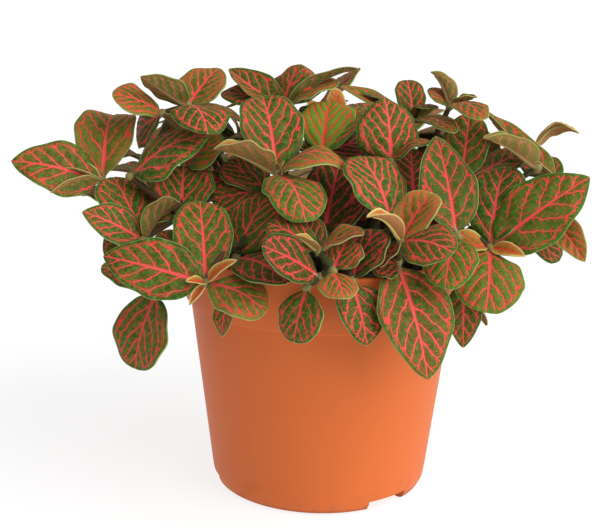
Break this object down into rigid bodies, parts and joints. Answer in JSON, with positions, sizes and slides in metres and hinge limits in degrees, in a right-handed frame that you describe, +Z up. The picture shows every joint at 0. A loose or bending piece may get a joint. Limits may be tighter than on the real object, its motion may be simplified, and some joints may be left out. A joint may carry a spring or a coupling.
{
  "type": "potted nerve plant",
  "caption": "Red-veined nerve plant: a mound of oval leaves on short stems, rooted in peat in a round, tapered plastic pot with a stepped rim band.",
  "frame": {"origin": "middle of the pot's flat underside, on the surface that it stands on", "axes": "+Z up along the pot's axis, -Y towards the viewer of the picture, +X to the right in it"},
  "size_m": [0.2279, 0.1987, 0.1722],
  "materials": {
    "pot": "satin",
    "soil": "matte",
    "leaf": "satin"
  },
  "bodies": {
    "root": {"leafy_stem_back_01": "leaf", "leafy_stem_back_02": "leaf", "leafy_stem_back_03": "leaf", "leafy_stem_back_04": "leaf", "leafy_stem_back_05": "leaf", "leafy_stem_back_06": "leaf", "leafy_stem_back_07": "leaf", "leafy_stem_back_08": "leaf", "leafy_stem_back_09": "leaf", "leafy_stem_back_10": "leaf", "leafy_stem_back_11": "leaf", "leafy_stem_back_12": "leaf", "leafy_stem_back_13": "leaf", "leafy_stem_back_14": "leaf", "leafy_stem_centre_back": "leaf", "leafy_stem_centre_crown": "leaf", "leafy_stem_centre_shade": "leaf", "leafy_stem_far_left": "leaf", "leafy_stem_far_right": "leaf", "leafy_stem_front_centre": "leaf", "leafy_stem_front_right_hanging": "leaf", "leafy_stem_left_front": "leaf", "leafy_stem_left_hanging": "leaf", "leafy_stem_left_inner": "leaf", "leafy_stem_right_arching": "leaf", "leafy_stem_right_centre": "leaf", "leafy_stem_right_crown": "leaf", "leafy_stem_right_folded": "leaf", "leafy_stem_right_front": "leaf", "leafy_stem_right_low": "leaf", "leafy_stem_right_shade": "leaf", "leafy_stem_right_shoulder": "leaf", "leafy_stem_right_upper": "leaf", "leafy_stem_right_upright": "leaf", "leafy_stem_top_centre": "leaf", "leafy_stem_top_left": "leaf", "leafy_stem_top_right": "leaf", "leafy_stem_top_right_middle": "leaf", "pot": "pot", "soil": "soil"}
  },
  "joints": []
}
